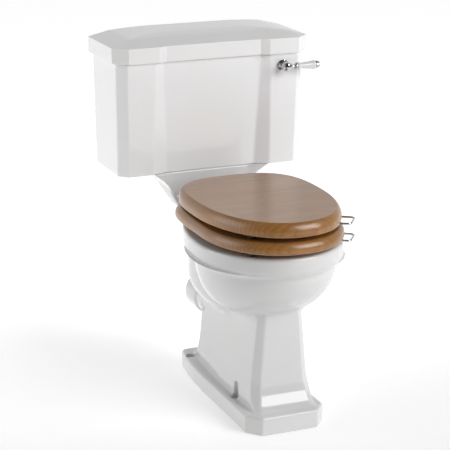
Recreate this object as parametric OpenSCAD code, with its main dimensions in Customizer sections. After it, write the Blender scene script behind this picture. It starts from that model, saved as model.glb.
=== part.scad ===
// Close coupled toilet: fireclay pan, lever flushed cistern, oak seat and cover.
// Millimetres, +Z up, front towards -Y, wall behind +Y.
// Origin: centre of the four floor screw holes, at floor level.

/* [Pan] */
// Height of the flat top of the rim above the floor
rim_z = 445; // [400:1:460]
// Half the width of the rim at its widest
rim_half_w = 178; // [165:1:190]
// How far the rim reaches forward of the widest point of the bowl
rim_front = 201; // [180:1:220]
// Height of the foot plinth
foot_h = 46; // [35:1:60]
// Half the width of the foot
foot_half_w = 101.5; // [90:0.5:110]
// Height of the shelf that carries the cistern
deck_z = 522; // [505:1:530]
// Distance between floor screw holes, side to side
screw_span_x = 152; // [130:1:160]
// Distance between floor screw holes, front to back
screw_span_y = 300; // [260:1:320]
// Height of the soil outlet centre
outlet_z = 185; // [175:1:195]

/* [Cistern] */
// Half the width of the tank at its foot
tank_half_w = 245.5; // [230:0.5:250]
// Height at which the lid sits on the tank
tank_top_z = 809; // [780:1:820]
// Thickness of the tank walls
tank_wall = 11; // [9:0.5:14]
// Half the width of the lid
lid_half_w = 260; // [250:1:270]
// Height of the upright edge of the lid
lid_edge_h = 39; // [30:1:45]
// Height of the domed top above the lid edge
lid_crown = 18; // [12:1:22]

/* [Seat] */
// Half the width of the seat ring and its cover
ring_half_w = 170; // [160:1:178]
// Thickness of the seat ring
ring_t = 29; // [22:1:32]
// Thickness of the seat cover
cover_t = 34; // [22:1:36]
// Gap that the rubber buffers keep
buffer_gap = 12; // [10:0.5:14]
// Distance between the hinge pillars
pillar_span = 155; // [140:1:170]

/* [Flush lever] */
// Distance of the lever from the middle of the cistern
lever_x = 186; // [170:1:200]
// Height of the lever spindle
lever_z = 778; // [760:1:785]
// Length of the china handle
grip_len = 50; // [40:1:60]

/* [Hidden] */
$fn = 48;
eps = 0.01;
bowl_cy = -150;
foot_front = -299;
foot_back = 206;
pedestal_front = -246;
pedestal_back = 118;
flare_reach = 46;
flare_top = 130;
lid_z = tank_top_z + lid_edge_h;
ring_z0 = rim_z + buffer_gap;
ring_z1 = ring_z0 + ring_t;
cover_z0 = ring_z1 + buffer_gap;
cover_z1 = cover_z0 + cover_t;
hinge_y = 98;
hinge_z = ring_z1 - 1;
bar_r = 4;
outlet_y = 270;
wall_y = 379;
tank_back = 375;
piston_x = 60;
arm_droop = 18;
link_z = lever_z - (lever_x - piston_x) * tan(arm_droop);
eye_z = link_z - 15;
bend_z = 662;
inlet_y = 326;
inlet_z = 745;
bolt_x = 70;
spigot_r = 50;
spigot_y = 190;
spigot_len = 68;
blend = 10;
joint_swell = 1.02;
body_steps = 20;
china = [0.96, 0.96, 0.95];
oak = [0.72, 0.5, 0.28];
metal = [0.78, 0.79, 0.8];
gold = [0.75, 0.62, 0.3];
black = [0.12, 0.12, 0.12];
plastic = [0.9, 0.9, 0.88];
float_orange = [0.85, 0.4, 0.15];

// ---- shared shape helpers ----

// Half width factor of a superellipse at fraction u of its half length
function se(u, n) = pow(max(0, 1 - pow(abs(u), n)), 1 / n);

// Half width of an egg outline: centre c, half width w, lengths lf and lb, fullness nf and nb
function egg(y, c, w, lf, lb, nf, nb) =
    y < c ? w * se(min(1, (c - y) / lf), nf) : w * se(min(1, (y - c) / lb), nb);

// Stations from a to b, closer together at both ends
function stations(a, b, m) = [for (i = [0:m]) a + (b - a) * (1 - cos(180 * i / m)) / 2];

// Linear mix
function mix(a, b, t) = a + (b - a) * t;

// Fraction of the way from a to b, held to 0..1
function frac(x, a, b) = min(1, max(0, (x - a) / (b - a)));

// Closed solid through a stack of rings that all have the same number of points
module loft(rings) {
    n = len(rings[0]);
    m = len(rings);
    pts = [for (r = rings) for (p = r) p];
    sides = [for (k = [0:m - 2]) for (i = [0:n - 1]) let (j = (i + 1) % n)
        each [[k * n + i, (k + 1) * n + j, k * n + j], [k * n + i, (k + 1) * n + i, (k + 1) * n + j]]];
    bottom = [for (i = [0:n - 1]) i];
    top = [for (i = [n - 1:-1:0]) (m - 1) * n + i];
    polyhedron(points = pts, faces = concat([bottom], sides, [top]), convexity = 8);
}

// Mirrored outline at height z from right hand points [x, y]
function mirrored(pts, z) = concat([for (p = pts) [p[0], p[1], z]],
    [for (i = [len(pts) - 1:-1:0]) [-pts[i][0], pts[i][1], z]]);

// Egg ring at height z, drawn inwards by d
function egg_ring(z, d, c, w, lf, lb, nf, nb, m) =
    mirrored([for (y = stations(c - lf + d, c + lb - d, m))
        [max(0.6, egg(y, c, w - d, lf - d, lb - d, nf, nb)), y]], z);

// Tube along a list of points
module tube_path(points, r) {
    for (i = [0:len(points) - 2])
        between(points[i], points[i + 1], r);
    if (len(points) > 2)
        for (i = [1:len(points) - 2])
            translate(points[i])
                sphere(r * joint_swell);
}

// Round bar from a to b
module between(a, b, r) {
    v = b - a;
    len_ab = norm(v);
    translate(a)
        rotate([0, acos(v[2] / len_ab), atan2(v[1], v[0])])
            cylinder(h = len_ab, r = r);
}

module both_sides(x) {
    for (s = [-1, 1])
        translate([s * x, 0, 0])
            children();
}

module mirror_pair() {
    for (s = [0, 1])
        mirror([s, 0, 0])
            children();
}

// ---- pan ----

// Plan of the foot: half width at y
function foot_plan(y) = y < bowl_cy
    ? min(foot_half_w, 71 + (y - foot_front) * 0.83)
    : y < 26 ? mix(foot_half_w, 100, frac(y, bowl_cy, 26))
    : y < 198 ? 100 - 17 * pow(frac(y, 26, 198), 2)
    : mix(83, 74, frac(y, 198, foot_back));

// Share of the concave flare left at height z: 1 on the foot, 0 at flare_top
function flare(z) = let (u = frac(z, flare_top, foot_h)) 1 - sqrt(max(0, 1 - u * u));

function column_half(z) = 70 - (z - flare_top) * 0.094;

// Half width at which the leaning side of the pedestal meets the shelf of the foot
function root_half(y) = mix(78, 67, frac(y, -40, 160));

function pedestal_side(y, z) =
    mix(column_half(z), root_half(y), pow(frac(z, flare_top, foot_h), 1.6));

function pedestal_hw(y, z) =
    let (f = flare(z), c = 14 + 14 * f + (z < flare_top ? 3 : 3 * (1 - frac(z, flare_top, 280))),
        yf = pedestal_front - flare_reach * f, yb = pedestal_back + 82 * f,
        side = pedestal_side(y, z),
        front = column_half(z) + f * 22 - c)
    (y < yf || y > yb) ? 0 : min(side, front + (y - yf), side - c + (yb - y));

// How far an edge of radius r has rounded in at height z below the top
function rounding(z, top, r) = z > top - r ? r - sqrt(max(0, r * r - pow(z - top + r, 2))) : 0;

function foot_inset(z) = rounding(z, foot_h, 7);

function foot_hw(y, z) =
    let (d = foot_inset(z))
    (y < foot_front + d || y > foot_back - d) ? 0 : foot_plan(y) - d;

function bowl_w(z) = 163 * se(frac(z, 405, 255), 2.6) + 12 * pow(frac(z, 380, 400), 3);

function bowl_front_len(z) = bowl_w(z) * 1.117 * (1 - 0.23 * pow(frac(z, 380, 283), 1.4));

function trunk_w(z) = z < 305
    ? 116 * sqrt(max(0, 1 - pow((305 - z) / 100, 2)))
    : mix(116, 108, frac(z, 340, 445));

function trunk_back(z) = mix(160, 240, pow(frac(z, 330, 445), 1.3));

function rim_inset(z) = rounding(z, rim_z, 6);

function lower_hw(y, z) = z <= foot_h ? foot_hw(y, z) : z < 320 ? pedestal_hw(y, z) : 0;

function bowl_hw(y, z) = (z < 256 || z > 402) ? 0
    : egg(y, bowl_cy, bowl_w(z), bowl_front_len(z), bowl_w(z) * 1.15, 2, 2.2);

function trunk_hw(y, z) = z < 206 ? 0
    : let (a = -100, b = trunk_back(z))
        (y < a || y > b) ? 0 : trunk_w(z) * se((y - (a + b) / 2) / ((b - a) / 2), 2.2);

function rim_hw(y, z) = z < 402 ? 0
    : let (d = rim_inset(z)) egg(y, bowl_cy, rim_half_w - d, rim_front - d, 300, 2, 2);

function skin_hw(y, z) = pow(pow(lower_hw(y, z), blend) + pow(bowl_hw(y, z), blend)
    + pow(trunk_hw(y, z), blend) + pow(rim_hw(y, z), blend), 1 / blend);

function skin_front(z) = z <= foot_h ? foot_front + foot_inset(z)
    : z < 402 ? min(z < 320 ? pedestal_front - flare_reach * flare(z) : 0, z < 256 ? 0 : bowl_cy - bowl_front_len(z))
    : bowl_cy - rim_front + rim_inset(z);

function skin_back(z) = z <= foot_h ? foot_back - foot_inset(z)
    : max(z < 320 ? pedestal_back + 82 * flare(z) : 0, z < 206 ? 0 : trunk_back(z));

function skin_ring(z) = mirrored([for (y = stations(skin_front(z) + 0.05, skin_back(z) - 0.05, body_steps))
    [max(0.6, skin_hw(y, z)), y]], z);

skin_levels = [0, 39, 43, foot_h, 47.2, 51, 58, 70, 90, flare_top, 205,
    207, 218, 234, 248, 255, 263, 272, 282, 294, 308, 321, 345, 370, 386,
    395, 401.5, 402.5, 439, 443, rim_z];

// Cistern shelf: half width and back edge grow upwards, front has a hollow at the rim
function deck_front(z) = z > 472 ? 201 : 174 + sqrt(max(0, 27 * 27 - pow(472 - z, 2)));

function deck_back(z) = mix(238, 372, pow(frac(z, 436, 498), 0.9));

function deck_half(z) = mix(96, 119, pow(frac(z, 436, deck_z), 0.9));

// How far a plan corner of radius r has come in, d from its end
function corner(d, r) = d > r ? 0 : r - sqrt(max(0, r * r - pow(r - d, 2)));

function deck_ring(z) =
    let (a = deck_front(z), b = deck_back(z), w = deck_half(z))
    mirrored([for (y = stations(a, b, 14)) [w - corner(y - a, 9) - corner(b - y, 22), y]], z);

// Shoulder that spreads from the side of the shelf out to the tank's front corner, t from 0 to 1
wing_low = 474;
wing_spread = 38;
wing_lead = 13.5;

function wing_ring(z) =
    let (t = pow(frac(z, wing_low, deck_z), 1.7), x = deck_half(z) + wing_spread * t)
    [[x, 201 - wing_lead * t, z], [x, 335, z], [deck_half(z) - 15, 335, z], [deck_half(z) - 15, 201, z]];

wing_levels = [wing_low, 484, 494, 503, 510, 516, deck_z - 2, deck_z];

deck_levels = [436, 441, 446, 451, 457, 464, 472, 480, 489, 498, 510, deck_z - 2, deck_z];

// Inside of the bowl: half width, centre, front and back reach at a height
bowl_levels = [[rim_z + 1, 124, -145, 155, 150], [424, 124, -145, 155, 150], [414, 142, -145, 172, 160],
    [390, 146, -145, 176, 160], [360, 138, -143, 170, 150], [330, 124, -138, 152, 140],
    [300, 104, -130, 120, 128], [272, 76, -118, 100, 110], [246, 46, -100, 92, 95],
    [218, 41, -70, 84, 72], [196, 38, -42, 62, 52], [178, 30, -24, 38, 34]];

module pan_skin() {
    loft([for (z = skin_levels) skin_ring(z)]);
    loft([for (z = deck_levels) deck_ring(z)]);
    mirror_pair()
        loft([for (z = wing_levels) wing_ring(z)]);
}

module bowl_hollow() {
    loft([for (i = [len(bowl_levels) - 1:-1:0]) let (b = bowl_levels[i])
        egg_ring(b[0], 0, b[2], b[1], b[3], b[4], 2.05, 2.2, 16)]);
}

trap_path = [[0, -20, 205], [0, 48, 262], [0, 98, 252], [0, 130, 208],
    [0, 158, outlet_z], [0, 262, outlet_z]];

flush_path = [[0, outlet_y, 500], [0, 240, 470], [0, 208, 434], [0, 150, 414], [0, -20, 408]];

// Space with cut corners: half width w, from y a to b and from z0 to z1
module cut_box(w, a, b, z0, z1) {
    c = 14;
    translate([0, 0, z0])
        linear_extrude(height = z1 - z0)
            polygon([[c - w, a], [w - c, a], [w, a + c], [w, b - c],
                [w - c, b], [c - w, b], [-w, b - c], [-w, a + c]]);
}

// Hollow under the pedestal, stepped round the sump
module foot_cavity() {
    cut_box(54, -228, 102, -1, 120);
    cut_box(46, -224, 96, 119, 145);
    cut_box(42, -222, -118, 144, 200);
}

// Hollow each side of the trap, open to the back, that lets a hand reach the seat fixings
module rear_hollows() {
    for (s = [0, 1])
        mirror([s, 0, 0])
            translate([0, 320, 0])
                rotate([90, 0, 0])
                    linear_extrude(height = 290)
                        polygon([[56, 262], [76, 258], [88, 280], [93, 320],
                            [93, 428], [56, 428]]);
}

module floor_screw_hole() {
    translate([0, 0, -1])
        cylinder(h = foot_h + 20, r = 4);
    translate([0, 0, 32])
        cylinder(h = 50, r = 12);
}

module pan() {
    color(china)
        difference() {
            union() {
                pan_skin();
                tube_path([for (i = [2:5]) trap_path[i] - (i == 5 ? [0, 50, 0] : [0, 0, 0])], 46);
                translate([0, spigot_y, outlet_z])
                    rotate([-90, 0, 0])
                        cylinder(h = spigot_len, r = spigot_r);
            }
            bowl_hollow();
            tube_path(trap_path, 38);
            foot_cavity();
            for (sy = [-1, 1])
                both_sides(screw_span_x / 2)
                    translate([0, sy * screw_span_y / 2, 0])
                        floor_screw_hole();
            translate([0, outlet_y, deck_z - 30])
                cylinder(h = 31, r = 40);
            tube_path(flush_path, 15);
            both_sides(bolt_x)
                translate([0, outlet_y, 380])
                    cylinder(h = 150, r = 5.5);
            both_sides(pillar_span / 2)
                translate([0, hinge_y, 395])
                    cylinder(h = 60, r = 6);
            rear_hollows();
            both_sides(bolt_x)
                translate([0, outlet_y, 380])
                    cylinder(h = 88, r = 17);
        }
}

// ---- cistern ----

// Right hand half of the tank plan: t from 0 at the foot to 1 at the lid, drawn inwards by d
function tank_pts(t, d) =
    let (side = mix(tank_half_w, 250, t) - d, wing_y = mix(187.5, 175, t) + d)
    [[mix(118, 131, t) + 0.5 * d, mix(201, 186, t) + d], [mix(157, 153, t) + 0.4 * d, wing_y],
    [mix(224, 228, t) - 0.4 * d, wing_y], [side, mix(210, 198, t) + 0.4 * d], [side, tank_back - d]];

// Right hand half of the lid plan, drawn inwards by d at front and sides and by e at the back
function lid_pts(d, e) =
    [[125 + 0.5 * d, 174 + d], [147 + 0.4 * d, 165 + d], [226 - 0.4 * d, 165.5 + d],
    [lid_half_w - d, 196 + 0.4 * d], [lid_half_w - d, wall_y - e]];

module tank_shell() {
    difference() {
        loft([mirrored(tank_pts(0, 0), deck_z), mirrored(tank_pts(1, 0), tank_top_z)]);
        loft([mirrored(tank_pts(0.04, tank_wall), deck_z + 13),
            mirrored(tank_pts(1.01, tank_wall), tank_top_z + 3)]);
    }
}

module cistern_tank() {
    color(china)
        difference() {
            tank_shell();
            translate([0, outlet_y, deck_z - 1])
                cylinder(h = 20, r = 25);
            translate([-90, outlet_y - 32, deck_z - 1])
                cube([180, 64, 4.2]);
            both_sides(bolt_x)
                translate([0, outlet_y, deck_z - 1])
                    cylinder(h = 7, r = 10);
            along_inlet(230)
                cylinder(h = 30, r = 11.5);
            translate([lever_x, 160, lever_z])
                rotate([-90, 0, 0])
                    cylinder(h = 40, r = 9);
            both_sides(190)
                translate([0, tank_back - 20, 740])
                    rotate([-90, 0, 0])
                        cylinder(h = 30, r = 4);
        }
}

// Share of the plan left and share of the crown height at steps up the domed top
dome_steps = [[1, 0.68], [0.88, 0.8], [0.74, 0.9], [0.5, 1]];
crown_in = 52;

function dome_pts(k) = [for (p = lid_pts(crown_in, 2)) [p[0] * k, mix(wall_y - 2, p[1], k)]];

module lid_solid() {
    loft([mirrored(lid_pts(0.8, 0), tank_top_z), mirrored(lid_pts(0, 0), lid_z - 4),
        mirrored(lid_pts(2.5, 1), lid_z),
        for (s = dome_steps) mirrored(dome_pts(s[0]), lid_z + s[1] * lid_crown)]);
}

module cistern_lid() {
    color(china)
        difference() {
            union() {
                lid_solid();
                loft([mirrored(lid_pts(24.5, 20), tank_top_z - 10),
                    mirrored(lid_pts(24.5, 20), tank_top_z + 5)]);
            }
            loft([mirrored(lid_pts(33, 28), tank_top_z - 11),
                mirrored(lid_pts(33, 28), tank_top_z + 8)]);
            loft([mirrored(lid_pts(14, 12), tank_top_z + 7), mirrored(lid_pts(16, 14), lid_z - 8)]);
        }
}

// ---- seat ----

ring_shape = [-150, ring_half_w, 216, 236, 2.15, 5.2];
cover_shape = [-106, ring_half_w, 262, 205, 2.16, 3];
hole_shape = [-125, 112, 172, 128, 2.3, 2.3];

function shape_ring(s, z, d, m) = egg_ring(z, d, s[0], s[1], s[2], s[3], s[4], s[5], m);

// Rounded plate: r0 below and r1 above
module plate(s, z0, z1, r0, r1, m) {
    low = [for (a = [0, 35, 65, 90]) [z0 + r0 * (1 - cos(a)), r0 * (1 - sin(a))]];
    high = [for (a = [0, 22, 45, 68, 90]) [z1 - r1 * (1 - sin(a)), r1 * (1 - cos(a))]];
    loft([for (p = concat(low, high)) shape_ring(s, p[0], p[1], m)]);
}

module seat_ring() {
    color(oak)
        difference() {
            plate(ring_shape, ring_z0, ring_z1, 5, 10, 26);
            loft([for (p = [[ring_z0 - 1, -4], [ring_z0 + 4, 0], [ring_z1 - 10, 0], [ring_z1 - 6, -1],
                [ring_z1 - 3, -3], [ring_z1 - 1, -6], [ring_z1 + 1, -9]])
                shape_ring(hole_shape, p[0], p[1], 20)]);
            loop_pilots(ring_z0);
            leaf_pilots(ring_leaf_x, ring_z0);
        }
}

module seat_cover() {
    color(oak)
        difference() {
            plate(cover_shape, cover_z0, cover_z1, 4, 12, 26);
            loop_pilots(cover_z0);
            leaf_pilots(cover_leaf_x, cover_z0);
        }
}

// Lifting loop in its own frame: u outwards from the seat, v along the edge
loop_at = [126, -250];
loop_angle = -36;
loop_half = 28;
loop_out = 46;
wire_r = 2.5;
pilot_r = 1.95;

module lifting_loop(z) {
    bend = 9;
    translate([loop_at[0], loop_at[1], z])
        rotate([0, 0, loop_angle]) {
            for (s = [-1, 1]) {
                translate([-6, s * loop_half, 0])
                    rotate([0, 90, 0])
                        cylinder(h = loop_out + 6 - bend, r = wire_r);
                translate([loop_out - bend, s * (loop_half - bend), 0])
                    rotate([0, 0, s > 0 ? 0 : -90])
                        rotate_extrude(angle = 90)
                            translate([bend, 0])
                                circle(r = wire_r);
            }
            translate([loop_out, -loop_half + bend, 0])
                rotate([-90, 0, 0])
                    cylinder(h = 2 * (loop_half - bend), r = wire_r);
        }
}

// Flat feet that hold the loop under the wood
module loop_feet(z_top, z) {
    translate([loop_at[0], loop_at[1], 0])
        rotate([0, 0, loop_angle])
            for (s = [-1, 1])
                translate([-8, s * loop_half, z - 0.5])
                    cylinder(h = z_top - z + 0.5, r = 6);
}

module loop_screws(z_bottom, z_top) {
    translate([loop_at[0], loop_at[1], 0])
        rotate([0, 0, loop_angle])
            for (s = [-1, 1])
                translate([-8, s * loop_half, z_bottom])
                    csk_screw(z_top - z_bottom);
}

module loop_pilots(z) {
    translate([loop_at[0], loop_at[1], 0])
        rotate([0, 0, loop_angle])
            for (s = [-1, 1])
                translate([-8, s * loop_half, z - 1])
                    cylinder(h = 14, r = pilot_r);
}

module leaf_pilots(x, z) {
    both_sides(x + leaf_w / 2)
        for (y = [34, 66])
            translate([0, y, z - 1])
                cylinder(h = 14, r = pilot_r);
}

// Wood screw pointing up, head down
module csk_screw(len) {
    cylinder(h = 1.6, r1 = 3.6, r2 = 1.9);
    cylinder(h = len, r = 1.9);
}

module csk_hole() {
    translate([0, 0, -1])
        cylinder(h = 6, r = 2);
    translate([0, 0, -1])
        cylinder(h = 1 + eps, r = 3.8);
    cylinder(h = 1.7, r1 = 3.8, r2 = 2);
}

module loop_holes(z) {
    translate([loop_at[0], loop_at[1], 0])
        rotate([0, 0, loop_angle])
            for (s = [-1, 1])
                translate([-8, s * loop_half, z])
                    csk_hole();
}

module ring_handle() {
    color(metal)
        difference() {
            union() {
                lifting_loop(ring_z0 - 3.2);
                loop_feet(ring_z0, ring_z0 - 4);
            }
            loop_holes(ring_z0 - 4.5);
        }
}

module ring_handle_screws() {
    color(metal)
        loop_screws(ring_z0 - 4.5, ring_z0 + 12);
}

module cover_handle() {
    color(metal)
        difference() {
            union() {
                lifting_loop(cover_z0 - 3.2);
                loop_feet(cover_z0, cover_z0 - 4);
            }
            loop_holes(cover_z0 - 4.5);
        }
}

module cover_handle_screws() {
    color(metal)
        loop_screws(cover_z0 - 4.5, cover_z0 + 12);
}

module hinge_pillars() {
    color(metal)
        both_sides(pillar_span / 2)
            difference() {
                translate([0, hinge_y, 0])
                    union() {
                        translate([0, 0, rim_z + 2])
                            rotate_extrude()
                                polygon([[0, 0], [18, 0], [18, 2], [16, 3.2],
                                    [8.5, 3.6], [7.5, 6],
                                    [7.5, hinge_z - rim_z - 7], [0, hinge_z - rim_z - 7]]);
                        translate([-7.5, 0, hinge_z])
                            rotate([0, 90, 0])
                                cylinder(h = 15, r = 10);
                    }
                translate([-30, hinge_y, hinge_z])
                    rotate([0, 90, 0])
                        cylinder(h = 60, r = bar_r + 0.04);
                translate([0, hinge_y, rim_z])
                    cylinder(h = 20, r = 4.03);
            }
}

module pillar_pads() {
    color(black)
        both_sides(pillar_span / 2)
            translate([0, hinge_y, rim_z])
                difference() {
                    cylinder(h = 2, r = 17.5);
                    translate([0, 0, -1])
                        cylinder(h = 4, r = 5);
                }
}

module hinge_bar() {
    color(metal)
        translate([-112, hinge_y, hinge_z])
            rotate([0, 90, 0])
                cylinder(h = 224, r = bar_r);
}

module bar_end_nuts() {
    color(metal)
        mirror_pair()
            translate([104, hinge_y, hinge_z])
                rotate([0, 90, 0])
                    difference() {
                        rotate_extrude()
                            polygon([[0, 0], [7.5, 0], [7.5, 6], [6.6, 8.5], [4.6, 10.8],
                                [2, 11.9], [0, 12.1]]);
                        translate([0, 0, -1])
                            cylinder(h = 9.05, r = bar_r + 0.05);
                    }
}

// Knuckle round the bar with a running fit
module knuckle(x0, len) {
    translate([x0, hinge_y, hinge_z])
        rotate([0, 90, 0])
            cylinder(h = len, r = 7);
}

module bar_bore() {
    translate([-130, hinge_y, hinge_z])
        rotate([0, 90, 0])
            cylinder(h = 260, r = bar_r + 0.06);
}

ring_leaf_x = 54;
cover_leaf_x = 88;
leaf_w = 14;

module ring_hinge_leaves() {
    color(metal)
        difference() {
            for (s = [-1, 1]) {
                x0 = s > 0 ? ring_leaf_x : -ring_leaf_x - leaf_w;
                knuckle(x0, leaf_w);
                translate([x0, hinge_y - 9.5, ring_z0 - 4])
                    cube([leaf_w, 5.5, hinge_z - ring_z0 + 4]);
                translate([x0, 24, ring_z0 - 4])
                    cube([leaf_w, hinge_y - 9.5 - 24 + 1, 4]);
            }
            bar_bore();
            leaf_holes(ring_leaf_x, ring_z0 - 4);
        }
}

module cover_hinge_leaves() {
    color(metal)
        difference() {
            for (s = [-1, 1]) {
                x0 = s > 0 ? cover_leaf_x : -cover_leaf_x - leaf_w;
                knuckle(x0, leaf_w);
                translate([x0, 24, cover_z0 - 4])
                    cube([leaf_w, hinge_y - 24 + 4, 4]);
                translate([x0, hinge_y - 4, hinge_z])
                    cube([leaf_w, 8, cover_z0 - hinge_z - 1]);
            }
            bar_bore();
            leaf_holes(cover_leaf_x, cover_z0 - 4);
        }
}

module leaf_screw_set(x, z, len) {
    both_sides(x + leaf_w / 2)
        for (y = [34, 66])
            translate([0, y, z])
                csk_screw(len);
}

// Holes for those screws through the plate that starts at z
module leaf_holes(x, z) {
    both_sides(x + leaf_w / 2)
        for (y = [34, 66])
            translate([0, y, z])
                csk_hole();
}

module ring_leaf_screws() {
    color(metal)
        leaf_screw_set(ring_leaf_x, ring_z0 - 4, 16);
}

module cover_leaf_screws() {
    color(metal)
        leaf_screw_set(cover_leaf_x, cover_z0 - 4, 16);
}

module buffer(z) {
    translate([0, 0, z])
        rotate_extrude()
            polygon([[0, 0], [7, 0], [9, 2], [9.5, buffer_gap], [0, buffer_gap]]);
}

module ring_buffers() {
    color(black) {
        both_sides(100)
            translate([0, -292, 0])
                buffer(rim_z);
        both_sides(142)
            translate([0, -60, 0])
                buffer(rim_z);
    }
}

module cover_buffers() {
    color(black) {
        both_sides(96)
            translate([0, -288, 0])
                buffer(ring_z1);
        both_sides(140)
            translate([0, -60, 0])
                buffer(ring_z1);
    }
}

module hinge_studs() {
    color(metal)
        both_sides(pillar_span / 2)
            translate([0, hinge_y, 408])
                cylinder(h = rim_z + 18 - 408, r = 4);
}

module stud_washers() {
    color(plastic)
        both_sides(pillar_span / 2)
            translate([0, hinge_y, 424])
                difference() {
                    cylinder(h = 4, r = 13);
                    translate([0, 0, -1])
                        cylinder(h = 6, r = 4.2);
                }
}

module wing_nut(z, r_bore) {
    translate([0, 0, z])
        difference() {
            union() {
                cylinder(h = 9, r = 7.5);
                translate([-14, -1.5, -4])
                    cube([28, 3, 11]);
            }
            translate([0, 0, -5])
                cylinder(h = 20, r = r_bore);
        }
}

module stud_wing_nuts() {
    color(plastic)
        both_sides(pillar_span / 2)
            translate([0, hinge_y, 0])
                wing_nut(415, 4.05);
}

// ---- flush lever ----

rose_face_y = 175.5;
knob_y = 150;

module along_y(y) {
    translate([lever_x, y, lever_z])
        rotate([-90, 0, 0])
            children();
}

module lever_rose() {
    color(metal)
        difference() {
            along_y(rose_face_y - 12)
                union() {
                    rotate_extrude()
                        polygon([[0, 0], [9, 0], [10.5, 1.5], [10.5, 4], [12, 5],
                            [12, 7.5], [14.5, 9], [14.5, 12], [0, 12]]);
                    cylinder(h = 40, r = 8.5);
                }
            along_y(150)
                cylinder(h = 80, r = 5.06);
        }
}

module lever_backnut() {
    color(metal)
        difference() {
            along_y(rose_face_y + 13.2)
                cylinder(h = 7, r = 15, $fn = 6);
            along_y(150)
                cylinder(h = 80, r = 8.55);
        }
}

module lever_spindle() {
    color(metal)
        difference() {
            union() {
                along_y(rose_face_y - 13)
                    cylinder(h = 276 - rose_face_y + 13, r = 5);
                along_y(knob_y - 12.5)
                    rotate_extrude()
                        polygon([[0, 0], [5, 0.6], [9, 2.8], [11.6, 6.4], [12.3, 10.5], [12.3, 18], [10, 21],
                            [8, 25.3], [0, 25.3]]);
            }
            along_x(5)
                cylinder(h = 10, r = 3.05);
        }
}

// Shapes of the handle, turned about a line along +X from the knob
module along_x(x) {
    translate([lever_x + x, knob_y + 2, lever_z])
        rotate([0, 90, 0])
            children();
}

module lever_neck() {
    color(metal)
        along_x(5.2)
            rotate_extrude()
                polygon([[0, 0], [3, 0], [3, 7.3], [4.6, 7.3], [3.6, 9.8], [3.6, 14.8],
                    [7.5, 18.8], [9, 19.8], [9, 21.8], [7, 23.3], [0, 23.3]]);
}

module lever_grip() {
    color(china)
        along_x(28.5)
            rotate_extrude()
                polygon([[0, 0], [6.5, 0], [8.6, 2], [8.9, 4], [7.6, 8], [7.3, 12], [8, 20],
                    [9, 29], [9.6, 36], [10.6, 42], [11.2, 46], [10.4, 49], [8.8, grip_len], [0, grip_len]]);
}

module lever_end_cap() {
    color(metal)
        along_x(28.5 + grip_len)
            rotate_extrude()
                polygon([[0, 0], [9.4, 0], [10, 1.2], [10, 3.5], [8.6, 4.5], [8.6, 8],
                    [7.2, 10.5], [4, 12], [0, 12.4]]);
}

module lever_arm() {
    reach = (lever_x - piston_x) / cos(arm_droop);
    color(gold)
        difference() {
            union() {
                along_y(262)
                    cylinder(h = 12, r = 10);
                translate([lever_x, 266, lever_z])
                    rotate([0, -arm_droop, 0])
                        translate([-reach - 10, 0, -7])
                            cube([reach + 10, 4, 14]);
            }
            along_y(250)
                cylinder(h = 40, r = 5.05);
            translate([lever_x, 250, lever_z])
                rotate([0, -arm_droop, 0])
                    translate([-reach - 3, 0, -3.2])
                        cube([14, 40, 6.4]);
            translate([lever_x, 271, lever_z + 5])
                cylinder(h = 10, r = 2.05);
        }
}

module arm_clamp_screw() {
    color(metal) {
        translate([lever_x, 271, lever_z + 5.2])
            cylinder(h = 9, r = 2);
        translate([lever_x, 271, lever_z + 11])
            cylinder(h = 4, r = 4, $fn = 6);
    }
}

// Wire hook between the arm and the piston rod
module link_hook() {
    color(metal)
        tube_path([[piston_x, 276, link_z], [piston_x, 260, link_z],
            [piston_x, 260, eye_z], [piston_x, 278, eye_z]], 1.8);
}

// ---- siphon ----

// Up from the chamber, across the top and down to the outlet
siphon_path = [[piston_x, outlet_y, 646], [piston_x, outlet_y, 684], [0, outlet_y, 684], [0, outlet_y, 494]];

module siphon_outer() {
    translate([piston_x, outlet_y, 552])
        cylinder(h = 90, r = 44);
    translate([piston_x, outlet_y, 642])
        cylinder(h = 16, r1 = 44, r2 = 24);
    tube_path(siphon_path, 22);
    translate([0, outlet_y, 538])
        cylinder(h = 12, r = 36);
    translate([0, outlet_y, 495])
        cylinder(h = 45, r = 24);
    translate([10, outlet_y - 8, 560])
        cube([piston_x - 10, 16, 70]);
    translate([piston_x, outlet_y, 700])
        cylinder(h = 14, r = 7);
}

module siphon_inner() {
    translate([piston_x, outlet_y, 551])
        cylinder(h = 89, r = 41);
    translate([piston_x, outlet_y, 639])
        cylinder(h = 16, r1 = 41, r2 = 21);
    tube_path(siphon_path, 19);
    translate([0, outlet_y, 480])
        cylinder(h = 30, r = 19.5);
}

module siphon_body() {
    color(plastic)
        difference() {
            siphon_outer();
            siphon_inner();
            translate([piston_x, outlet_y, 690])
                cylinder(h = 40, r = 3.06);
        }
}

module siphon_piston() {
    color(metal) {
        translate([piston_x, outlet_y, 562])
            cylinder(h = 3, r = 40);
        difference() {
            translate([piston_x, outlet_y, 562])
                cylinder(h = eye_z + 5 - 562, r = 3);
            translate([piston_x, outlet_y - 10, eye_z])
                rotate([-90, 0, 0])
                    cylinder(h = 20, r = 1.86);
        }
    }
}

module siphon_seal() {
    color(black)
        translate([0, outlet_y, deck_z + 13])
            difference() {
                cylinder(h = 3, r = 34);
                translate([0, 0, -1])
                    cylinder(h = 5, r = 24.2);
            }
}

module siphon_backnut() {
    color(plastic)
        translate([0, outlet_y, deck_z - 12])
            difference() {
                cylinder(h = 12, r = 34, $fn = 8);
                translate([0, 0, -1])
                    cylinder(h = 14, r = 24.05);
            }
}

module doughnut_seal() {
    color(black)
        translate([0, outlet_y, deck_z - 30])
            difference() {
                cylinder(h = 17.5, r = 38);
                translate([0, 0, -1])
                    cylinder(h = 20, r = 25);
            }
}

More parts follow.
